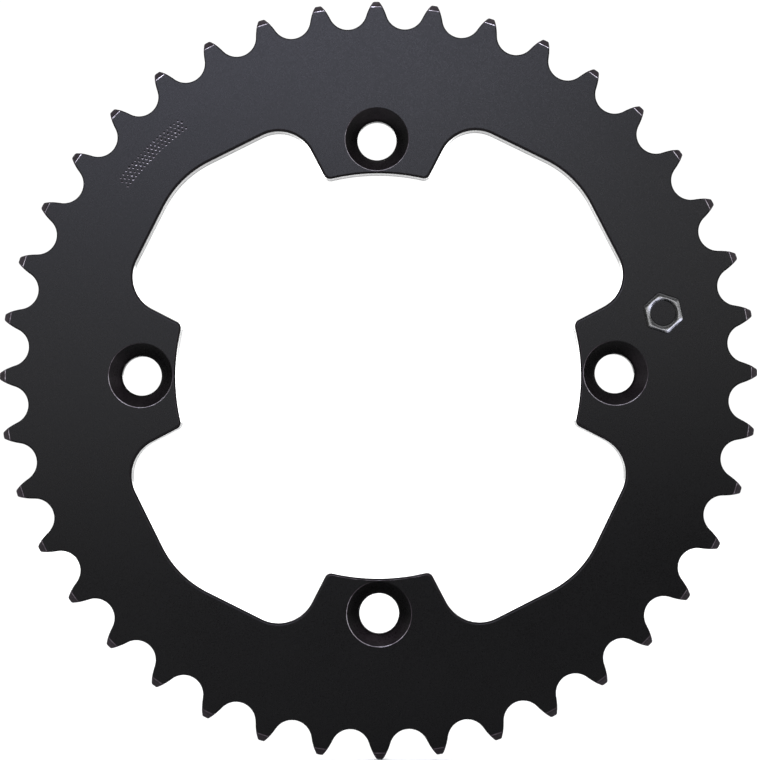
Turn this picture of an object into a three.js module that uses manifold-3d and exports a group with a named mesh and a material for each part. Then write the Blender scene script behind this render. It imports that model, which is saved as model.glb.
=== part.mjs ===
// Rear sprocket for a 520 roller chain: one flat steel plate with forty teeth round its edge,
// four lugs that carry the bolt holes and one large opening that clears the wheel hub.
// Millimetres. The plate spins about Y. The countersunk outer face looks along -Y and +Z is up.
import * as THREE from 'three';
import { mergeVertices } from 'three/addons/utils/BufferGeometryUtils.js';
import Module from 'manifold-3d';

const wasm = await Module();
wasm.setup();

// Teeth and chain
const TEETH = 40;
const CHAIN_PITCH = 15.875;
const ROLLER_DIAMETER = 10.16;
const PLATE_THICKNESS = 5.8;
const SEAT_CLEARANCE = 0.22;
const SEAT_HALF_ANGLE = THREE.MathUtils.degToRad(67.9);
const FLANK_RADIUS = 19.7;
const TIP_RISE = 2.77;
const TIP_BEVEL_WIDTH = 1.6;
const TIP_BEVEL_DEPTH = 1.2;

// Hub opening
const BORE_DIAMETER = 111;
const BORE_CHAMFER = 0.45;
const WINDOW_DEPTH = 20.5;
const WINDOW_CORNER_RADIUS = 27.8;
const WINDOW_SIDE_SLANT = THREE.MathUtils.degToRad(26.5);
const POCKET_RADIUS = 10.2;

// Lugs and bolt holes
const LUGS = 4;
const HOLE_DIAMETER = 10.8;
const COUNTERSINK_DEPTH = 3.4;
const LUG_END_WALL = 0.7;
const LUG_SIDE_WALL = 6.1;
const LUG_FLARE = THREE.MathUtils.degToRad(27.4);
const LUG_CORNER_RADIUS = 1.9;

// Stamped mark
const MARK_ACROSS_FLATS = 10;
const MARK_HOLE_DIAMETER = 7;
const MARK_DEPTH = 0.25;
const MARK_BEARING = THREE.MathUtils.degToRad(11.8);

// Sizes that follow from the ones above
const PITCH_RADIUS = CHAIN_PITCH / (2 * Math.sin(Math.PI / TEETH));
const ROOT_RADIUS = PITCH_RADIUS - ROLLER_DIAMETER / 2;
const TIP_RADIUS = PITCH_RADIUS + TIP_RISE;
const SEAT_RADIUS = ROLLER_DIAMETER / 2 + SEAT_CLEARANCE;
const HALF_THICKNESS = PLATE_THICKNESS / 2;
const BORE_RADIUS = BORE_DIAMETER / 2;
const WINDOW_REACH = BORE_RADIUS + WINDOW_DEPTH;
const HOLE_RADIUS = HOLE_DIAMETER / 2;
const COUNTERSINK_RADIUS = HOLE_RADIUS + COUNTERSINK_DEPTH;
const BOLT_CIRCLE_RADIUS = BORE_RADIUS + LUG_END_WALL + COUNTERSINK_RADIUS;
const LUG_HALF_WIDTH = COUNTERSINK_RADIUS + LUG_SIDE_WALL;
const MARK_RADIUS = (BOLT_CIRCLE_RADIUS + COUNTERSINK_RADIUS + ROOT_RADIUS - MARK_ACROSS_FLATS) / 2;

// Smoothness of the curves
const SEAT_STEPS = 10;
const FLANK_STEPS = 3;
const BORE_STEPS = 8;
const CORNER_STEPS = 4;
const POCKET_STEPS = 9;
const WINDOW_STEPS = 7;
const BLANK_SEGMENTS = 4 * TEETH;
const CHAMFER_SEGMENTS = 144;
const HOLE_SEGMENTS = 36;
const MARK_STEPS = 24;

// How far a cutter runs past the metal
const OVERRUN = 1;

const vec = (x, y) => new THREE.Vector2(x, y);
const polar = (radius, angle) => vec(radius * Math.cos(angle), radius * Math.sin(angle));

// Points along an arc, both ends included.
function arc(centre, radius, from, to, steps) {
  return Array.from({ length: steps + 1 }, (_, i) =>
    polar(radius, from + (to - from) * i / steps).add(centre));
}

// The same points seen in a mirror that lies along the X axis, in reverse order.
function mirrored(points) {
  return points.map(p => vec(p.x, -p.y)).reverse();
}

// Copies of one sector of an outline, turned round the centre to close it.
function repeated(points, count) {
  const ring = [];
  for (let i = 0; i < count; i++) {
    const turn = 2 * Math.PI * i / count;
    for (const p of points) ring.push(p.clone().rotateAround(vec(0, 0), turn));
  }
  return ring;
}

// A ring of points without any that lie on the one before.
function withoutRepeats(points) {
  return points.filter((p, i) => p.distanceTo(points.at(i - 1)) > 1e-6);
}

// Manifold solid from a three.js geometry.
function solid(geometry) {
  geometry.deleteAttribute('normal');
  geometry.deleteAttribute('uv');
  const merged = mergeVertices(geometry, 1e-5);
  return new wasm.Manifold(new wasm.Mesh({
    numProp: 3,
    vertProperties: Float32Array.from(merged.attributes.position.array),
    triVerts: Uint32Array.from(merged.index.array),
  }));
}

// Prism over an outline, from low to high along Z.
function prism(outline, low, high) {
  const shape = new THREE.Shape(withoutRepeats(outline));
  const geometry = new THREE.ExtrudeGeometry(shape, { depth: high - low, bevelEnabled: false });
  return solid(geometry.translate(0, 0, low));
}

// Geometry turned about Z from a profile of radius and height that starts and ends on the axis.
function turned(profile, segments, startAngle = 0) {
  return new THREE.LatheGeometry(profile, segments, startAngle).rotateX(Math.PI / 2);
}

// One tooth space about the X axis: a round roller seat between two flanks that bulge
// towards the teeth. Each flank runs on to the middle of its tooth.
function toothSpace() {
  const seatCentre = vec(ROOT_RADIUS + SEAT_RADIUS, 0);
  const towardsFlank = Math.PI - SEAT_HALF_ANGLE;
  const seat = arc(seatCentre, SEAT_RADIUS, Math.PI + SEAT_HALF_ANGLE, towardsFlank, SEAT_STEPS);
  const flankCentre = polar(SEAT_RADIUS + FLANK_RADIUS, towardsFlank).add(seatCentre);
  const toothLine = polar(1, Math.PI / TEETH);
  const along = flankCentre.dot(toothLine);
  const aside = flankCentre.cross(toothLine);
  const point = toothLine.clone().multiplyScalar(along + Math.sqrt(FLANK_RADIUS ** 2 - aside ** 2));
  const end = point.sub(flankCentre).angle();
  const flank = arc(flankCentre, FLANK_RADIUS, towardsFlank - Math.PI, end - 2 * Math.PI, FLANK_STEPS);
  return [...mirrored(flank), ...seat, ...flank];
}

// Flat disc whose edge is bevelled on both faces. A tooth tip sits in the middle of each flat.
function blank() {
  const flat = 1 / Math.cos(Math.PI / BLANK_SEGMENTS);
  const outer = TIP_RADIUS * flat;
  const inner = (TIP_RADIUS - TIP_BEVEL_WIDTH) * flat;
  const shoulder = HALF_THICKNESS - TIP_BEVEL_DEPTH;
  const profile = [
    vec(0, -HALF_THICKNESS), vec(inner, -HALF_THICKNESS), vec(outer, -shoulder),
    vec(outer, shoulder), vec(inner, HALF_THICKNESS), vec(0, HALF_THICKNESS),
  ];
  return solid(turned(profile, BLANK_SEGMENTS, Math.PI / BLANK_SEGMENTS));
}

// The toothed outline, with tooth tips on the lines through the lugs.
function teeth() {
  const halfPitch = Math.PI / TEETH;
  const sector = toothSpace().map(p => p.rotateAround(vec(0, 0), halfPitch));
  return prism(repeated(sector, TEETH), -HALF_THICKNESS - OVERRUN, HALF_THICKNESS + OVERRUN);
}

// The hub opening: a bore cut short by four windows, one between each pair of lugs.
function hubOpening() {
  const flankNormal = Math.PI / 2 + LUG_FLARE;
  const flank = polar(1, flankNormal);
  const flankReach = flank.dot(vec(BORE_RADIUS, LUG_HALF_WIDTH));
  const side = polar(1, WINDOW_SIDE_SLANT);
  const windowCentre = polar(WINDOW_REACH - WINDOW_CORNER_RADIUS, Math.PI / LUGS);
  const sideReach = side.dot(windowCentre) + WINDOW_CORNER_RADIUS;

  const cornerReach = flankReach - LUG_CORNER_RADIUS;
  const cornerAlong = Math.sqrt((BORE_RADIUS + LUG_CORNER_RADIUS) ** 2 - cornerReach ** 2);
  const cornerCentre = flank.clone().multiplyScalar(cornerReach)
    .add(polar(cornerAlong, flankNormal - Math.PI / 2));
  const lugEdge = cornerCentre.angle();

  const a = flankReach + POCKET_RADIUS;
  const b = sideReach - POCKET_RADIUS;
  const spread = flank.cross(side);
  const pocketCentre = vec((a * side.y - b * flank.y) / spread, (b * flank.x - a * side.x) / spread);

  const lug = arc(vec(0, 0), BORE_RADIUS, -lugEdge, lugEdge, BORE_STEPS);
  const corner = arc(cornerCentre, LUG_CORNER_RADIUS, lugEdge + Math.PI, flankNormal, CORNER_STEPS);
  const pocket = arc(pocketCentre, POCKET_RADIUS, flankNormal - Math.PI, WINDOW_SIDE_SLANT, POCKET_STEPS);
  const lugPitch = 2 * Math.PI / LUGS;
  const sideEnd = lugPitch - WINDOW_SIDE_SLANT;
  const window = arc(windowCentre, WINDOW_CORNER_RADIUS, WINDOW_SIDE_SLANT, sideEnd, WINDOW_STEPS);
  const nextLug = points => points.map(p => p.clone().rotateAround(vec(0, 0), lugPitch));
  const quarter = [
    ...lug, ...corner, ...pocket, ...window,
    ...nextLug(mirrored(pocket)), ...nextLug(mirrored(corner)),
  ];
  return prism(repeated(quarter, LUGS), -HALF_THICKNESS - OVERRUN, HALF_THICKNESS + OVERRUN);
}

// Cone that breaks the edge of the bore where it meets one face. Face is 1 or -1.
function boreChamfer(face) {
  const top = HALF_THICKNESS + OVERRUN;
  const tip = HALF_THICKNESS - BORE_CHAMFER - BORE_RADIUS;
  const profile = [vec(0, tip), vec(BORE_RADIUS + BORE_CHAMFER + OVERRUN, top), vec(0, top)];
  const cone = turned(profile, CHAMFER_SEGMENTS);
  return solid(face > 0 ? cone : cone.rotateX(Math.PI));
}

// One bolt hole with its countersink on the outer face, on the line through a lug.
function boltHole(index) {
  const profile = [
    vec(0, -HALF_THICKNESS - OVERRUN), vec(HOLE_RADIUS, -HALF_THICKNESS - OVERRUN),
    vec(HOLE_RADIUS, HALF_THICKNESS - COUNTERSINK_DEPTH),
    vec(COUNTERSINK_RADIUS + OVERRUN, HALF_THICKNESS + OVERRUN), vec(0, HALF_THICKNESS + OVERRUN),
  ];
  const place = polar(BOLT_CIRCLE_RADIUS, 2 * Math.PI * index / LUGS);
  return solid(turned(profile, HOLE_SEGMENTS).translate(place.x, place.y, 0));
}

// Shallow nut-shaped mark sunk in the outer face.
function stampedMark() {
  const place = polar(MARK_RADIUS, MARK_BEARING);
  const corner = MARK_ACROSS_FLATS / (2 * Math.cos(Math.PI / 6));
  const floor = HALF_THICKNESS - MARK_DEPTH;
  const nut = prism(arc(place, corner, 0, 5 * Math.PI / 3, 5), floor, HALF_THICKNESS + OVERRUN);
  const ring = arc(place, MARK_HOLE_DIAMETER / 2, 0, 2 * Math.PI, MARK_STEPS);
  const island = prism(ring, floor - OVERRUN, HALF_THICKNESS + 2 * OVERRUN);
  return nut.subtract(island);
}

// The whole plate.
function plateSolid() {
  let plate = blank().intersect(teeth()).subtract(hubOpening());
  for (const face of [1, -1]) plate = plate.subtract(boreChamfer(face));
  for (let i = 0; i < LUGS; i++) plate = plate.subtract(boltHole(i));
  return plate.subtract(stampedMark());
}

// Three.js geometry from a manifold solid, stood up so that the plate spins about Y.
function standingGeometry(body) {
  const mesh = body.getMesh();
  const geometry = new THREE.BufferGeometry();
  geometry.setAttribute('position', new THREE.Float32BufferAttribute(mesh.vertProperties, 3));
  geometry.setIndex(new THREE.Uint32BufferAttribute(mesh.triVerts, 1));
  geometry.rotateX(Math.PI / 2);
  const flat = geometry.toNonIndexed();
  flat.computeVertexNormals();
  return flat;
}

// Satin black coating on steel.
function blackCoating() {
  return new THREE.MeshStandardMaterial({
    name: 'black_coating',
    color: 0x303033,
    roughness: 0.42,
    metalness: 0.3,
  });
}

const sprocketPlate = new THREE.Mesh(standingGeometry(plateSolid()), blackCoating());
sprocketPlate.name = 'sprocket_plate';

const group = new THREE.Group();
group.name = 'rear_sprocket';
group.add(sprocketPlate);

export default group;
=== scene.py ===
"""Rear sprocket: a flat toothed plate in satin black, standing upright on a pale floor."""
import math
import random

import bmesh
import bpy
import numpy as np
from mathutils import Matrix, Vector
from mathutils.geometry import delaunay_2d_cdt


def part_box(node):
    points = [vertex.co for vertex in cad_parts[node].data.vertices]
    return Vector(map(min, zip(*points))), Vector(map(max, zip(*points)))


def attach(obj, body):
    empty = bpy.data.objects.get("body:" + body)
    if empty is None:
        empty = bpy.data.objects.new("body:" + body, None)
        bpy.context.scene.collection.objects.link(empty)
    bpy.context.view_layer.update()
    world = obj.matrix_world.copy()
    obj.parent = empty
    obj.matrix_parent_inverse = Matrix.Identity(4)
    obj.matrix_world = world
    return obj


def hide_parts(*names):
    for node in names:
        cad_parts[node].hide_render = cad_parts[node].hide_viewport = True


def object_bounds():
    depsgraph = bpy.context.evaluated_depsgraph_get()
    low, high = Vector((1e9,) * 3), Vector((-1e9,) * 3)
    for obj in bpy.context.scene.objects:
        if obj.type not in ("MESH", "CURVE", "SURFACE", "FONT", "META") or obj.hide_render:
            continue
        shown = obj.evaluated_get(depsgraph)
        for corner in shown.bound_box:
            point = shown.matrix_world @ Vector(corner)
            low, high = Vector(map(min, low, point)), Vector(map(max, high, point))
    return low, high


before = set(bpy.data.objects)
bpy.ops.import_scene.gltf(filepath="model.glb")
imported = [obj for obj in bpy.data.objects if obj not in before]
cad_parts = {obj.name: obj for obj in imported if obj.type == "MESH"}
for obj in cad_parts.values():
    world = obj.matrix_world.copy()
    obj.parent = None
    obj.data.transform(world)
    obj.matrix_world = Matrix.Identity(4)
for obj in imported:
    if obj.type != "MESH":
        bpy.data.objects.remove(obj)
CAD_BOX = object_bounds()
NODE = "sprocket_plate"
LOW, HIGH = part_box(NODE)

MM = 0.001
HALF = (HIGH.y - LOW.y) / MM / 2     # half the plate's thickness
TIP_R = (HIGH.x - LOW.x) / 2 / MM    # circle through the tooth tips

# ---------------------------------------------------------------- sizes, in millimetres
TEETH, PITCH, ROLLER = 40, 15.875, 10.16
PITCH_R = PITCH / (2 * math.sin(math.pi / TEETH))
ROOT_R = PITCH_R - ROLLER / 2
SEAT_CLEARANCE = 0.22                # between a roller and its seat
SEAT_R = ROLLER / 2 + SEAT_CLEARANCE
SEAT_HALF = math.radians(67.9)       # half the angle that the round seat covers
FLANK_R = 19.7
TIP_CORNER = 0.7                     # radius of a tip's corners
BEVEL_WIDTH, BEVEL_DEPTH, BEVEL_BLEND = 1.6, 1.2, 0.10
BEVEL_R, BEVEL_SLOPE = TIP_R - BEVEL_WIDTH, BEVEL_DEPTH / BEVEL_WIDTH
# (distance from where the bevel starts, wear and painted highlight): a painted highlight as a thin bright
# ridge, then light wear on the bevel
BEVEL_WEAR_AND_HIGHLIGHT = ((-0.4, 0.0), (-0.2, 1.0), (-0.1, 0.35), (0.0, 0.16), (0.1, 0.16), (0.4, 0.20))
BEVEL_ROWS = (-0.4, -0.2, -0.1, 0.0, 0.1, 0.2, 0.4)

LUGS, BORE_R, BORE_CHAMFER = 4, 55.5, 0.45
WINDOW_REACH, WINDOW_CORNER = 76.0, 27.8      # from the middle, and radius of the outer curve
SIDE_SLANT = math.radians(26.5)               # of a window's straight sides
POCKET_R = 10.2                               # round pocket between a lug and a window's side
LUG_HALF, LUG_FLARE, LUG_CORNER = 14.9, math.radians(27.4), 1.9     # half width at the bore, slant, corner
# painted highlight on the lug chamfers, stronger on the lower lugs, and a faint painted sheen round the
# opening's rim
CHAMFER_HIGHLIGHT, RIM_HIGHLIGHT = 0.5, 0.05

BOLT_R, HOLE_R, SINK_DEPTH = 65.0, 5.4, 3.4
SINK_R = HOLE_R + SINK_DEPTH         # the countersink is 90 degrees
HOLE_POINTS = 96                     # points in a ring of a bolt hole

MARK_R, MARK_BEARING = 79.94, math.radians(11.8)
MARK_FLATS, MARK_HOLE, MARK_DEPTH, MARK_CORNER_CUT = 10.0, 3.5, 0.25, 0.1395
MARK_POINTS = 96
# edge of the sunk band: (distance out of the band, drop); only the strips nearest its floor are bare
BAND_EDGE = ((0.22, 0.0), (0.10, 0.0), (0.04, 0.02), (0.0, 0.05),
             (-0.05, 0.085), (-0.10, 0.105), (-0.16, 0.12))
BAND_COATED_STRIPS = 4

DOT_ROWS, DOT_COLUMNS, DOT_STEP, DOT_ROW_STEP = 4, 20, 1.22, 1.22 * 0.82
DOTS_R, DOTS_BEARING = 87.9, math.radians(135.2)
DOT_R, DOT_DEPTH, DOT_POINTS = 0.35, 0.145, 14
DOT_SEED, DOT_SHARES = 11, (0.70, 1.0)        # sizes vary between these shares of DOT_R
# (share of the dot's radius, further out, height, painted highlight on the lip)
DOT_PROFILE = ((1.0, 0.07, 0.0, 0.0), (1.0, 0.03, 0.002, 0.4), (1.0, -0.03, 0.0, 0.8),
               (0.72, 0.0, -0.010, 0.85), (0.5, 0.0, -0.07, 0.3), (0.25, 0.0, -0.12, 0.0))

FACE, WALL, STEEL = 0, 1, 2          # finishes

EDGE = 0.36          # rounding of the tooth edges
RIM_EDGE = 0.66      # rounding round the opening
SUPPORT = 0.07       # distance of the loops that hold each edge
FLAT_R = 94.4        # circle where the toothed ring meets the flat middle


def unit(a):
    """Unit vector at angle a."""
    return np.array([math.cos(a), math.sin(a)])


def arc(centre, radius, a0, a1, steps):
    """Points and directions from the centre along an arc, both ends included."""
    t = np.linspace(a0, a1, steps + 1)
    d = np.c_[np.cos(t), np.sin(t)]
    return np.asarray(centre) + radius * d, d


def turned(p, a):
    """Points turned about the middle by angle a."""
    c, s = math.cos(a), math.sin(a)
    return p @ np.array([[c, s], [-s, c]])


class Plate:
    """Collects vertices and faces, in millimetres. Points are (x, y, height), the outer face at +HALF."""

    def __init__(self):
        self.verts, self.faces, self.finish, self.wear, self.flat = [], [], [], [], set()
        self.count = 0

    def add(self, pts, wear=0.0):
        """Adds points with the wear and painted highlight at each, and returns their indices."""
        pts = np.asarray(pts, float)
        start = self.count
        self.verts.append(pts)
        self.wear.append(np.broadcast_to(np.asarray(wear, float), (len(pts),)).copy())
        self.count += len(pts)
        return np.arange(start, self.count)

    def strip(self, a, b, closed=True, finish=FACE):
        """Quads between two rows of the same length."""
        n = len(a)
        for i in range(n if closed else n - 1):
            j = (i + 1) % n
            self.faces.append(tuple(int(v) for v in (a[i], a[j], b[j], b[i])))
            self.finish.append(finish)

    def fill(self, loops):
        """Flat triangles between loops of vertices that are already there, the outer loop first."""
        allv = np.vstack(self.verts)
        ids = np.concatenate(loops)
        pts = [Vector(allv[i][:2]) for i in ids]
        edges, at = [], 0
        for loop in loops:
            n = len(loop)
            edges += [(at + i, at + (i + 1) % n) for i in range(n)]
            at += n
        out = delaunay_2d_cdt(pts, edges, [], 0, 1e-7)
        assert len(out[0]) == len(ids), "the outline crosses itself"
        back = [src[0] for src in out[3]]
        tris = np.array([[ids[back[v]] for v in f] for f in out[2]])
        mid = allv[tris][:, :, :2].mean(1)
        keep = inside(mid, allv[loops[0]])
        for loop in loops[1:]:
            keep &= ~inside(mid, allv[loop])
        for tri in tris[keep]:
            self.flat.add(len(self.faces))
            self.faces.append(tuple(int(v) for v in tri))
            self.finish.append(FACE)


def inside(points, outline):
    """Which points lie inside a closed outline."""
    x, y = points[:, 0, None], points[:, 1, None]
    a, b = outline[:, :2], np.roll(outline[:, :2], -1, 0)
    rise = np.where(b[:, 1] == a[:, 1], 1.0, b[:, 1] - a[:, 1])
    spans = (a[:, 1] > y) != (b[:, 1] > y)
    cross = a[:, 0] + (y - a[:, 1]) / rise * (b[:, 0] - a[:, 0])
    return np.sum(spans & (x < cross), axis=1) % 2 == 1


def soft(x, w):
    """x above zero and nothing below, with a rounded corner of half width w."""
    x = np.asarray(x, float)
    return np.where(x > w, x, np.where(x < -w, 0.0, (x + w) ** 2 / (4 * w)))


def tip_wear(r):
    """Wear and painted highlight of the tip bevels by radius."""
    return np.interp(np.asarray(r, float) - BEVEL_R, *zip(*BEVEL_WEAR_AND_HIGHLIGHT))


def upper_teeth_highlight(q):
    """Share of the tip wear and highlight at points q: painted light, lighter on the upper teeth."""
    return 0.70 + 0.30 * q[:, 1] / TIP_R


def round_edge(radius, steps):
    """(inset, drop) from the wall round to the face, with a support loop at each end."""
    t = np.linspace(0, math.pi / 2, steps + 1)
    prof = [(0.0, radius + SUPPORT)]
    prof += [(radius * (1 - math.cos(a)), radius * (1 - math.sin(a))) for a in t]
    return np.array(prof + [(radius + SUPPORT, 0.0)])


# ---------------------------------------------------------------- toothed edge
def half_tooth():
    """Outline from the middle of a tooth space (on the X axis) to the middle of the next tooth:
    points, directions out of the metal, how many points the seat has, and how many the tip's land."""
    seat_c = np.array([ROOT_R + SEAT_R, 0.0])
    p1, d1 = arc(seat_c, SEAT_R, math.pi, math.pi - SEAT_HALF, 12)
    flank_c = seat_c + (SEAT_R + FLANK_R) * unit(math.pi - SEAT_HALF)
    # rounded corner that touches the flank and the tip circle from inside
    a, b = FLANK_R - TIP_CORNER, TIP_R - TIP_CORNER
    dist = np.linalg.norm(flank_c)
    x = (b * b - a * a + dist * dist) / (2 * dist)
    y = math.sqrt(b * b - x * x)
    e = flank_c / dist
    f = np.array([-e[1], e[0]])
    options = [e * x + f * y, e * x - f * y]
    corner_c = min(options, key=lambda c: abs(math.atan2(c[1], c[0]) - math.pi / TEETH))
    to_corner = corner_c - flank_c
    end = math.atan2(to_corner[1], to_corner[0])
    start = -SEAT_HALF
    # flank samples, closer together where the bevel starts
    inset = FLANK_R - EDGE - SUPPORT

    def radius_at(t):
        return np.linalg.norm(flank_c + inset * unit(t))

    def angle_for(r):
        lo, hi = start, end
        for _ in range(50):
            mid = (lo + hi) / 2
            lo, hi = (mid, hi) if radius_at(mid) < r else (lo, mid)
        return (lo + hi) / 2

    wanted = [BEVEL_R + k for k in BEVEL_ROWS]
    low = np.linspace(start, angle_for(wanted[0]), 7)[:-1]
    top = np.linspace(angle_for(wanted[-1]), end, 4)[1:]
    t2 = np.r_[low, [angle_for(r) for r in wanted], top]
    d2 = np.c_[np.cos(t2), np.sin(t2)]
    p2 = flank_c + FLANK_R * d2
    a1 = math.atan2(corner_c[1], corner_c[0])
    p3, d3 = arc(corner_c, TIP_CORNER, end, a1, 6)
    p4, d4 = arc((0, 0), TIP_R, a1, math.pi / TEETH, 2)
    # the seat's normal points at its centre, the others away from theirs
    pts = np.vstack([p1, p2[1:], p3[1:], p4[1:]])
    nrm = np.vstack([-d1, d2[1:], d3[1:], d4[1:]])
    return pts, nrm, len(p1), len(p4) - 1


def toothed_ring(plate, side):
    """Everything outside FLAT_R on one face, and half of the wall. side is 1 or -1.
    Returns the ring at FLAT_R and the wall loop."""
    pts, nrm, seat_points, half_land = half_tooth()
    n = len(pts)
    base = seat_points - 1             # index along the half tooth where the flank starts
    last = n - 1 - half_land           # and where the tip's corner ends
    mirror = np.array([1.0, -1.0])
    # a whole pitch, from the middle of one tooth to the middle of the next, centred on its space
    p = np.vstack([(pts * mirror)[::-1], pts[1:]])[:-1]
    d = np.vstack([(nrm * mirror)[::-1], nrm[1:]])[:-1]
    per = len(p)
    angles = [2 * math.pi * (k + 0.5) / TEETH for k in range(TEETH)]
    P = np.vstack([turned(p, a) for a in angles])
    D = np.vstack([turned(d, a) for a in angles])
    prof = round_edge(EDGE, 5)
    rows = []
    for inset, drop in prof:
        q = P - D * inset
        r = np.hypot(q[:, 0], q[:, 1])
        z = HALF - drop - BEVEL_SLOPE * soft(r - BEVEL_R, BEVEL_BLEND)
        # painted highlight as a bright ridge along the bevel, stronger on the upper teeth, over light wear
        rows.append(plate.add(np.c_[q, side * z], tip_wear(r) * upper_teeth_highlight(q) * (drop < 0.5 * EDGE)))
    for a, b in zip(rows[:-1], rows[1:]):
        plate.strip(a, b)
    face = rows[-1]
    # tooth tips: rows across each tooth from the seat ends up to the land
    V = np.vstack(plate.verts)
    inner_ring = []
    for k in range(TEETH):
        first = face[k * per:(k + 1) * per]
        nxt = face[((k + 1) % TEETH) * per:((k + 1) % TEETH) * per + per]
        # going up on the far side of space k, then down on the near side of space k + 1
        up = [first[(n - 1) + i] for i in range(n - 1)]
        tip = nxt[0]
        down = [nxt[(n - 1) - i] for i in range(n - 1)]
        below = None
        for i in range(base, last):
            A, B = V[up[i]], V[down[i]]
            ra = math.hypot(A[0], A[1])
            ta, tb = math.atan2(A[1], A[0]), math.atan2(B[1], B[0])
            if tb < ta:
                tb += 2 * math.pi
            t = np.linspace(ta, tb, 2 * half_land + 1)[1:-1]
            z = HALF - BEVEL_SLOPE * soft(ra - BEVEL_R, BEVEL_BLEND)
            q = np.c_[ra * np.cos(t), ra * np.sin(t)]
            # painted highlight along the bevel, stronger on the upper teeth, over light wear
            mid = plate.add(np.c_[q, np.full(len(t), side * z)], tip_wear(ra) * upper_teeth_highlight(q))
            row = [up[i], *mid, down[i]]
            if below is not None:
                plate.strip(below, row, closed=False)
            else:
                base_row = row
            below = row
        land = [up[last], *[up[j] for j in range(last + 1, n - 1)], tip,
                *[down[j] for j in range(n - 2, last, -1)], down[last]]
        plate.strip(below, land, closed=False)
        # this sector's stretch of the loop below the teeth: seat's near half, then the tooth's base row
        inner_ring += [first[(n - 1) + i] for i in range(1 - base, base)] + base_row
    V = np.vstack(plate.verts)
    loop = np.array(inner_ring)
    q = V[loop]
    r, t = np.hypot(q[:, 0], q[:, 1]), np.arctan2(q[:, 1], q[:, 0])
    previous = loop
    for share in (0.5, 1.0):
        rr = r + (FLAT_R - r) * share
        ring = plate.add(np.c_[rr * np.cos(t), rr * np.sin(t), np.full(len(t), side * HALF)])
        plate.strip(previous, ring)
        previous = ring
    return previous, rows[0]


# ---------------------------------------------------------------- hub opening
def opening_outline():
    """Points, directions out of the metal, and how far each point belongs to a lug's bore arc."""
    flank_n = math.pi / 2 + LUG_FLARE
    fl = unit(flank_n)
    fl_reach = fl @ np.array([BORE_R, LUG_HALF])
    side = unit(SIDE_SLANT)
    win_c = (WINDOW_REACH - WINDOW_CORNER) * unit(math.pi / LUGS)
    side_reach = side @ win_c + WINDOW_CORNER
    along = fl_reach - LUG_CORNER
    corner_c = fl * along + unit(flank_n - math.pi / 2) * math.sqrt((BORE_R + LUG_CORNER) ** 2 - along ** 2)
    lug_edge = math.atan2(corner_c[1], corner_c[0])
    pocket_c = np.linalg.solve(np.array([fl, side]), [fl_reach + POCKET_R, side_reach - POCKET_R])
    p, d, lug = [], [], []

    def put(points, dirs, weight):
        p.append(points)
        d.append(dirs)
        lug.append(np.broadcast_to(weight, (len(points),)))

    def line(a, b, n, steps):
        u = np.linspace(0, 1, steps + 1)[1:-1, None]
        put(a + (b - a) * u, np.repeat(n[None], steps - 1, 0), 0.0)

    a, da = arc((0, 0), BORE_R, 0, lug_edge, 12)
    put(a, -da, 1.0)
    c, dc = arc(corner_c, LUG_CORNER, lug_edge + math.pi, flank_n, 10)
    clear = np.hypot(c[:, 0], c[:, 1]) - BORE_R
    put(c[1:], dc[1:], np.clip(1 - clear[1:] / BORE_CHAMFER, 0, 1))
    k, dk = arc(pocket_c, POCKET_R, flank_n - math.pi, SIDE_SLANT, 24)
    line(c[-1], k[0], fl, 6)
    put(k, -dk, 0.0)
    w, dw = arc(win_c, WINDOW_CORNER, SIDE_SLANT, math.pi / LUGS, 9)
    line(k[-1], w[0], -side, 10)
    put(w, -dw, 0.0)
    p, d, lug = np.vstack(p), np.vstack(d), np.concatenate(lug)
    # the same eighth in a mirror along the diagonal closes the quarter
    quarter, outward = (np.vstack([q, q[:, ::-1][::-1][1:-1]]) for q in (p, d))
    share = np.concatenate([lug, lug[::-1][1:-1]])
    turns = [2 * math.pi * i / LUGS for i in range(LUGS)]
    return (np.vstack([turned(quarter, a) for a in turns]),
            np.vstack([turned(outward, a) for a in turns]), np.tile(share, LUGS))


def opening_ring(plate, side):
    """The rim of the hub opening on one face, as (loop in the flat face, wall loop)."""
    P, D, lug = opening_outline()
    plain = round_edge(RIM_EDGE, 7)
    cham, s = BORE_CHAMFER, 0.03         # s rounds the chamfer's two edges
    chamfer = np.array([(0.0, cham + s + SUPPORT), (0.0, cham + s), (s * 0.35, cham), (s, cham - s),
                        (cham * 0.35, cham * 0.65), (cham * 0.65, cham * 0.35), (cham - s, s),
                        (cham, s * 0.35), (cham + s, 0.0), (cham + s + 0.04, 0.0)])
    # painted highlights on the chamfers, strongest on the lower lugs, and a faint painted sheen on the rim
    # all round
    last = len(plain) - 1
    chamfer_wear = {last - 2: CHAMFER_HIGHLIGHT, last - 1: CHAMFER_HIGHLIGHT}
    rim_wear = {last - 3: RIM_HIGHLIGHT, last - 2: RIM_HIGHLIGHT}
    rows = []
    for j in range(len(plain)):
        prof = (1 - lug)[:, None] * plain[j] + lug[:, None] * chamfer[j]
        q = P - D * prof[:, :1]
        low = 0.5 - 0.5 * q[:, 1] / BORE_R
        wear_and_highlight_level = lug * chamfer_wear.get(j, 0) * low + rim_wear.get(j, 0)
        rows.append(plate.add(np.c_[q, side * (HALF - prof[:, 1])], wear_and_highlight_level))
    for a, b in zip(rows[:-1], rows[1:]):
        plate.strip(a, b)
    return rows[-1], rows[0]


# ---------------------------------------------------------------- bolt holes, mark and punched dots
def bearings(steps):
    """Evenly spread angles round a full turn."""
    return np.linspace(0, 2 * math.pi, steps, endpoint=False)


def lathe(plate, centre, profile, steps, wear):
    """Rings about an upright axis from a list of (radius, height), with the wear and painted highlight on
    each ring.
    """
    t = bearings(steps)
    rows = []
    for (r, z), wear_and_highlight_level in zip(profile, wear):
        ring = np.c_[centre[0] + r * np.cos(t), centre[1] + r * np.sin(t), np.full(steps, z)]
        rows.append(plate.add(ring, wear_and_highlight_level))
    for a, b in zip(rows[:-1], rows[1:]):
        plate.strip(a, b)
    return rows


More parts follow.
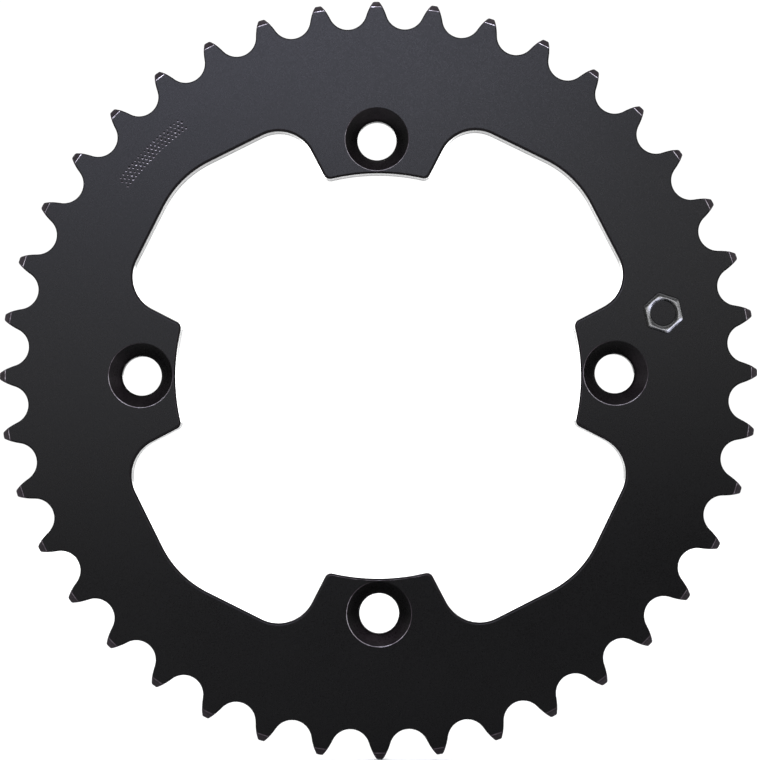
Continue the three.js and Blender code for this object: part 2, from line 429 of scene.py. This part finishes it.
def bolt_hole(plate, k):
    """Bolt hole k with its countersink. Returns its loops in the outer face and in the back."""
    bearing = 2 * math.pi * k / LUGS
    c = BOLT_R * unit(bearing)
    s, e = 0.10, 0.22                  # the countersink's rim, and the rounding at the back
    prof = [(SINK_R + s + 0.04, HALF), (SINK_R + s, HALF), (SINK_R + s * 0.45, HALF - s * 0.08),
            (SINK_R, HALF - s * 0.30), (SINK_R - s * 0.5, HALF - s * 0.62), (SINK_R - s, HALF - s),
            (SINK_R - s - 0.06, HALF - s - 0.06)]
    rim_wear = (0, 0.3, 0.9, 1.0, 0.5, 0.05)
    for u in (0.25, 0.5, 0.75):
        prof.append((SINK_R - SINK_DEPTH * u, HALF - SINK_DEPTH * u))
    cone = slice(len(rim_wear), len(prof))
    prof += [(HOLE_R + 0.12, HALF - SINK_DEPTH + 0.12), (HOLE_R + 0.06, HALF - SINK_DEPTH + 0.045),
             (HOLE_R + 0.015, HALF - SINK_DEPTH - 0.03), (HOLE_R, HALF - SINK_DEPTH - 0.12)]
    prof += [(HOLE_R, HALF - SINK_DEPTH - 0.3), (HOLE_R, -HALF + e + SUPPORT)]
    for a in np.linspace(0, math.pi / 2, 5):
        prof.append((HOLE_R + e * (1 - math.cos(a)), -HALF + e * (1 - math.sin(a))))
    prof.append((HOLE_R + e + SUPPORT, -HALF))
    # painted highlight on the rim, strongest below, and painted reflection on the cone, a little below and
    # on its outer side
    t = bearings(HOLE_POINTS)
    wear = np.zeros((len(prof), HOLE_POINTS))
    wear[:len(rim_wear)] = np.outer(rim_wear, np.clip(0.55 - 0.55 * np.sin(t + 0.4), 0, 1))
    wear[cone] = 0.05 * np.clip(np.cos(t - bearing), 0, 1) ** 2 + 0.045 * np.clip(-np.sin(t), 0, 1)
    rows = lathe(plate, c, prof, HOLE_POINTS, wear)
    return rows[0], rows[-1]


def hexagon(centre, flats, corner_cut, steps, turn):
    """Hexagon whose corners are cut by a circle, as points and outward directions."""
    reach = flats / 2 / math.cos(math.pi / 6) - corner_cut
    pts, dirs = [], []
    for i in range(steps):
        t = 2 * math.pi * i / steps
        k = (t + math.pi / 6) % (math.pi / 3) - math.pi / 6      # from the middle of the nearest side
        pts.append(centre + min(flats / 2 / math.cos(k), reach) * unit(t + turn))
        dirs.append(unit(t + turn))
    return np.array(pts), np.array(dirs)


def stamped_mark(plate):
    """A sunk band between a hexagon and a circle, like the outline of a nut.
    Returns its outer and inner loops."""
    c = MARK_R * unit(MARK_BEARING)
    P, D = hexagon(c, MARK_FLATS, MARK_CORNER_CUT, MARK_POINTS, MARK_BEARING)
    edge_drop = BAND_EDGE[-1][1]
    outer = [plate.add(np.c_[P + D * out, np.full(MARK_POINTS, HALF - drop)]) for out, drop in BAND_EDGE]
    inner = [plate.add(np.c_[c + D * (MARK_HOLE - out), np.full(MARK_POINTS, HALF - drop)])
             for out, drop in reversed(BAND_EDGE)]
    # the hollow floor of the band
    V = np.vstack(plate.verts)
    a, b = V[outer[-1]], V[inner[0]]
    bottom = []
    for u in np.arange(0.1, 0.95, 0.1):
        low = (MARK_DEPTH - edge_drop) * math.sin(math.pi * u)
        bottom.append(plate.add(a + (b - a) * u - [0, 0, low]))
    rows = outer + bottom + inner
    strips = list(zip(rows[:-1], rows[1:]))
    for j, (p, q) in enumerate(strips):
        bare = BAND_COATED_STRIPS <= j < len(strips) - BAND_COATED_STRIPS
        plate.strip(p, q, finish=STEEL if bare else FACE)
    return outer[0], inner[-1]


def dot_places():
    """Punched dots in plain staggered rows along an arc, as a grip pattern would be."""
    rng = random.Random(DOT_SEED)
    places = []
    for j in range(DOT_ROWS):
        r = DOTS_R + (j - (DOT_ROWS - 1) / 2) * DOT_ROW_STEP
        for i in range(DOT_COLUMNS - j % 2):
            along = (i + 0.5 * (j % 2) - (DOT_COLUMNS - 1) / 2) * DOT_STEP
            places.append((r * unit(DOTS_BEARING - along / DOTS_R), rng.uniform(*DOT_SHARES)))
    return places


def punched_dot(plate, centre, size):
    """A small round dent with a raised lip, with a painted highlight on its lower side. Returns its outer
    loop.
    """
    # the lower side of each dot, where the lip gets a painted highlight
    low = np.clip(0.15 - np.sin(bearings(DOT_POINTS)), 0, 1)
    profile = [(DOT_R * size * share + out, HALF + up) for share, out, up, _ in DOT_PROFILE]
    rows = lathe(plate, centre, profile, DOT_POINTS, [wear_and_highlight_level * low for *_, wear_and_highlight_level in DOT_PROFILE])
    tip = int(plate.add([[*centre, HALF - DOT_DEPTH]])[0])
    last = rows[-1]
    for i in range(DOT_POINTS):
        plate.faces.append((int(last[i]), int(last[(i + 1) % DOT_POINTS]), tip))
        plate.finish.append(FACE)
    return rows[0]


# ---------------------------------------------------------------- the whole plate
def build_plate():
    """Both faces with their edges, the walls between them, and the flat fills last."""
    plate = Plate()
    outer, wall, rim, rim_wall = {}, {}, {}, {}
    for side in (1, -1):
        outer[side], wall[side] = toothed_ring(plate, side)
        rim[side], rim_wall[side] = opening_ring(plate, side)
    plate.strip(wall[-1], wall[1], finish=WALL)
    plate.strip(rim_wall[1], rim_wall[-1], finish=WALL)
    front, back = [], []
    for k in range(LUGS):
        top, bottom = bolt_hole(plate, k)
        front.append(top)
        back.append(bottom)
    mark_outer, mark_inner = stamped_mark(plate)
    front.append(mark_outer)
    dots = [punched_dot(plate, c, s) for c, s in dot_places()]
    plate.fill([outer[1], rim[1], *front, *dots])
    plate.fill([mark_inner])
    plate.fill([outer[-1], rim[-1], *back])
    return plate


def make_object(name, plate):
    """Blender object from the plate, in metres: the outer face looks along -Y and the plate's y is up."""
    v = np.vstack(plate.verts)
    world = np.c_[v[:, 0], -v[:, 2], v[:, 1]] * MM
    mesh = bpy.data.meshes.new(name)
    mesh.from_pydata(world.tolist(), [], plate.faces)
    mesh.polygons.foreach_set("material_index", plate.finish)
    mesh.polygons.foreach_set("use_smooth", [i not in plate.flat for i in range(len(plate.faces))])
    layer = mesh.attributes.new("wear", "FLOAT", "POINT")
    layer.data.foreach_set("value", np.concatenate(plate.wear))
    bm = bmesh.new()
    bm.from_mesh(mesh)
    bmesh.ops.recalc_face_normals(bm, faces=bm.faces)
    bm.to_mesh(mesh)
    bm.free()
    mesh.update()
    ob = bpy.data.objects.new(name, mesh)
    bpy.context.collection.objects.link(ob)
    return ob


# ---------------------------------------------------------------- materials
class Nodes:
    """A new material, and short ways to add and link its nodes."""

    def __init__(self, name):
        self.mat = bpy.data.materials.new(name)
        self.mat.use_nodes = True
        self.tree = self.mat.node_tree
        self.bsdf = self.tree.nodes["Principled BSDF"]

    def add(self, kind, inputs=(), **props):
        n = self.tree.nodes.new(kind)
        for k, v in props.items():
            setattr(n, k, v)
        for k, v in dict(inputs).items():
            if isinstance(v, bpy.types.NodeSocket):
                self.tree.links.new(v, n.inputs[k])
            else:
                n.inputs[k].default_value = v
        return n

    def to(self, socket, target):
        self.tree.links.new(socket, self.bsdf.inputs[target])

    def noise(self, scale, detail=3.0, rough=0.55, stretch=None):
        """Noise over the object's own coordinates, scale in cycles per metre."""
        vec = self.add("ShaderNodeTexCoord").outputs["Object"]
        if stretch:
            vec = self.add("ShaderNodeMapping", {"Vector": vec, "Scale": stretch}).outputs[0]
        return self.add("ShaderNodeTexNoise", {"Vector": vec, "Scale": scale, "Detail": detail,
                                               "Roughness": rough})

    def remap(self, value, a, b, c, d):
        return self.add("ShaderNodeMapRange", {"Value": value, "From Min": a, "From Max": b,
                                               "To Min": c, "To Max": d}).outputs[0]

    def math(self, op, a, b):
        return self.add("ShaderNodeMath", {0: a, 1: b}, operation=op).outputs[0]

    def mix(self, factor, a, b, blend="MIX"):
        n = self.add("ShaderNodeMix", {0: factor, 6: a, 7: b}, data_type="RGBA", blend_type=blend)
        return n.outputs[2]


def black_coating():
    """Satin black with a fine grain. Where the wear and painted highlight value is high it pales, and then
    bare metal shows; on rims, ridges and dot lips this is a painted highlight.
    """
    m = Nodes("black_coating_satin")
    grain = m.noise(2600, 2.0, 0.6).outputs["Fac"]
    cloud = m.noise(55, 3.0, 0.6).outputs["Fac"]
    tint = m.noise(190, 2.0, 0.5)
    base = m.mix(m.remap(cloud, 0.3, 0.7, 0.0, 1.0),
                 (0.0005, 0.0004, 0.0004, 1), (0.0008, 0.0007, 0.0007, 1))
    base = m.mix(0.10, base, tint.outputs["Color"], "SOFT_LIGHT")
    wear = m.add("ShaderNodeAttribute", attribute_name="wear").outputs["Fac"]
    patchy = m.remap(m.noise(420, 4.0, 0.65).outputs["Fac"], 0.36, 0.66, 0.50, 1.0)
    # wear and painted highlights: the pale and metallic spots on rims, ridges and dot lips are painted
    # highlights, the rest is worn coating
    wear_and_highlight_level = m.math("MULTIPLY", wear, patchy)
    bare = m.remap(wear_and_highlight_level, 0.30, 0.80, 0.0, 1.0)
    base = m.mix(wear_and_highlight_level, base, (0.185, 0.145, 0.165, 1))
    base = m.mix(bare, base, (0.52, 0.50, 0.51, 1))
    m.to(m.math("MULTIPLY", bare, 0.5), "Metallic")
    m.to(base, "Base Color")
    m.bsdf.inputs["Specular IOR Level"].default_value = 0.09
    rough = m.remap(grain, 0.25, 0.75, 0.25, 0.32)
    rough = m.math("ADD", rough, m.remap(cloud, 0.3, 0.7, -0.006, 0.006))
    m.to(rough, "Roughness")
    coarse = m.noise(900, 3.0, 0.6).outputs["Fac"]
    height = m.math("ADD", m.math("MULTIPLY", grain, 0.6), m.math("MULTIPLY", coarse, 0.4))
    bump = m.add("ShaderNodeBump", {"Height": height, "Strength": 0.10, "Distance": 0.00003})
    m.to(bump.outputs[0], "Normal")
    return m.mat


def cut_wall():
    """The glossy coating on a cut wall: smooth near the outer face, duller towards the back,
    with faint lines along it."""
    m = Nodes("black_coating_wall")
    along = m.noise(700, 3.0, 0.6, stretch=(0.08, 9.0, 0.08)).outputs["Fac"]
    cloud = m.noise(60, 3.0, 0.6).outputs["Fac"]
    depth = m.add("ShaderNodeSeparateXYZ", {0: m.add("ShaderNodeTexCoord").outputs["Object"]}).outputs["Y"]
    dull = m.remap(depth, 0.0004, 0.0012, 0.0, 1.0)
    bright = m.mix(m.remap(cloud, 0.3, 0.7, 0.0, 1.0), (0.020, 0.019, 0.018, 1), (0.040, 0.038, 0.037, 1))
    base = m.mix(dull, bright, (0.012, 0.012, 0.012, 1))
    m.to(base, "Base Color")
    m.bsdf.inputs["Specular IOR Level"].default_value = 0.5
    m.to(m.math("ADD", m.remap(along, 0.3, 0.7, 0.14, 0.20), m.math("MULTIPLY", dull, 0.15)), "Roughness")
    bump = m.add("ShaderNodeBump", {"Height": along, "Strength": 0.15, "Distance": 0.00003})
    m.to(bump.outputs[0], "Normal")
    return m.mat


def bare_steel():
    """The bare metal in the sunk mark."""
    m = Nodes("bare_steel_mark")
    fine = m.noise(2200, 3.0, 0.6, stretch=(1.0, 1.0, 3.0)).outputs["Fac"]
    base = m.mix(m.remap(fine, 0.3, 0.7, 0.0, 1.0), (0.05, 0.05, 0.05, 1), (0.12, 0.12, 0.116, 1))
    m.to(base, "Base Color")
    m.bsdf.inputs["Metallic"].default_value = 1.0
    m.to(m.remap(fine, 0.3, 0.7, 0.20, 0.30), "Roughness")
    bump = m.add("ShaderNodeBump", {"Height": fine, "Strength": 0.3, "Distance": 0.00004})
    m.to(bump.outputs[0], "Normal")
    return m.mat


def pale_floor():
    """Nearly white, matt."""
    m = Nodes("pale_floor")
    soft_noise = m.noise(3.0, 2.0).outputs["Fac"]
    m.to(m.mix(soft_noise, (0.88, 0.88, 0.88, 1), (0.92, 0.92, 0.92, 1)), "Base Color")
    m.bsdf.inputs["Roughness"].default_value = 0.8
    m.bsdf.inputs["Specular IOR Level"].default_value = 0.1
    return m.mat


# ---------------------------------------------------------------- the object
plate = build_plate()
sprocket = make_object("sprocket_finish", plate)
for mat in (black_coating(), cut_wall(), bare_steel()):
    sprocket.data.materials.append(mat)
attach(sprocket, "root")
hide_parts(NODE)


# ---------------------------------------------------------------- floor, light and camera
# reach of the floor from the plate, in metres: short in front, so that it doesn't brighten the plate's face
FLOOR_SIDE, FLOOR_FRONT, FLOOR_REAR = 1.5, 0.35, 2.6
FLOOR_GAP = 0.0003                   # between the lowest tooth and the floor
floor_z = CAD_BOX[0][2] - FLOOR_GAP
corners = [(-FLOOR_SIDE, -FLOOR_FRONT), (FLOOR_SIDE, -FLOOR_FRONT),
           (FLOOR_SIDE, FLOOR_REAR), (-FLOOR_SIDE, FLOOR_REAR)]
floor_mesh = bpy.data.meshes.new("floor")
floor_mesh.from_pydata([(x, y, floor_z) for x, y in corners], [], [(0, 1, 2, 3)])
floor = bpy.data.objects.new("floor", floor_mesh)
floor_mesh.materials.append(pale_floor())
bpy.context.collection.objects.link(floor)


def softbox(name, bearing, elevation, distance, width, height, watts, colour):
    """An area light aimed at the middle of the plate.
    Bearing 0 is straight in front, positive to the right."""
    b, e = math.radians(bearing), math.radians(elevation)
    at = Vector((math.sin(b) * math.cos(e), -math.cos(b) * math.cos(e), math.sin(e))) * distance
    data = bpy.data.lights.new(name, "AREA")
    data.shape, data.size, data.size_y, data.energy, data.color = "RECTANGLE", width, height, watts, colour
    ob = bpy.data.objects.new(name, data)
    ob.location = at
    ob.rotation_mode = "QUATERNION"
    ob.rotation_quaternion = at.to_track_quat("Z", "Y")
    bpy.context.collection.objects.link(ob)


COOL, PLAIN = (0.93, 0.95, 1.20), (1, 1, 1)
# name, bearing and elevation in degrees, distance, width and height in metres, watts, colour
LIGHTS = [
    ("key", -7, 18, 1.6, 0.8, 0.35, 14.0, COOL),
    ("fill", 6, 22, 1.6, 0.8, 0.35, 1.3, PLAIN),
    ("low_right", 12, 8, 1.6, 0.8, 0.35, 4.7, PLAIN),
    ("low_left", -18, 4, 1.6, 0.8, 0.35, 4.3, PLAIN),
    ("left", -70, 15, 1.6, 1.0, 1.0, 4, PLAIN),
    ("right", 70, 15, 1.6, 1.0, 1.0, 4, PLAIN),
    ("top", 0, 88, 1.6, 1.0, 1.0, 3, PLAIN),
    ("rear", 180, 20, 2.5, 3.0, 1.6, 50, PLAIN),
]
for light in LIGHTS:
    softbox(*light)

BACK, SEEN = 1.7, 1.05     # strength of the world behind the plate, and as the camera sees it


def studio_world():
    """White all round to the eye. It lights the plate only from behind."""
    world = bpy.data.worlds.new("studio")
    bpy.context.scene.world = world
    world.use_nodes = True
    nt = world.node_tree
    nt.nodes.clear()

    def node(kind, **values):
        n = nt.nodes.new(kind)
        for k, v in values.items():
            n.inputs[k.replace("_", " ")].default_value = v
        return n

    split = node("ShaderNodeSeparateXYZ")
    nt.links.new(node("ShaderNodeTexCoord").outputs["Generated"], split.inputs[0])
    behind = node("ShaderNodeMapRange", From_Min=-0.35, From_Max=0.25, To_Min=0.0, To_Max=BACK)
    behind.interpolation_type = "SMOOTHSTEP"
    nt.links.new(split.outputs["Y"], behind.inputs["Value"])
    lit = node("ShaderNodeBackground")
    nt.links.new(behind.outputs[0], lit.inputs["Strength"])
    seen = node("ShaderNodeBackground", Color=(1, 1, 1, 1), Strength=SEEN)
    pick = nt.nodes.new("ShaderNodeMixShader")
    nt.links.new(node("ShaderNodeLightPath").outputs["Is Camera Ray"], pick.inputs[0])
    nt.links.new(lit.outputs[0], pick.inputs[1])
    nt.links.new(seen.outputs[0], pick.inputs[2])
    nt.links.new(pick.outputs[0], nt.nodes.new("ShaderNodeOutputWorld").inputs["Surface"])


studio_world()

# the photograph's view, fitted to the teeth and the bolt holes
CAMERA_AT = (0.00393, -0.580, -0.02804)
CAMERA_TILT, CAMERA_PAN, CAMERA_ROLL = (math.radians(a) for a in (5.098, 0.365, -0.270))
SENSOR, LENS, SHIFT_Y = 36.0, 99.94, -0.12

cam_data = bpy.data.cameras.new("camera")
cam_data.sensor_width, cam_data.lens, cam_data.shift_y = SENSOR, LENS, SHIFT_Y
cam_data.clip_start, cam_data.clip_end = 0.01, 60.0
cam = bpy.data.objects.new("camera", cam_data)
cam.location = CAMERA_AT
cam.rotation_mode = "QUATERNION"
upright = Matrix(((1, 0, 0), (0, 0, -1), (0, 1, 0)))
turn = (Matrix.Rotation(CAMERA_PAN, 3, "Y") @ Matrix.Rotation(CAMERA_TILT, 3, "X")
        @ Matrix.Rotation(CAMERA_ROLL, 3, "Z"))
cam.rotation_quaternion = (upright @ turn).to_quaternion()
bpy.context.collection.objects.link(cam)
bpy.context.scene.camera = cam

scene = bpy.context.scene
scene.view_settings.view_transform = "Standard"
scene.view_settings.look = "None"
scene.view_settings.exposure = 0.0
scene.view_settings.gamma = 1.0
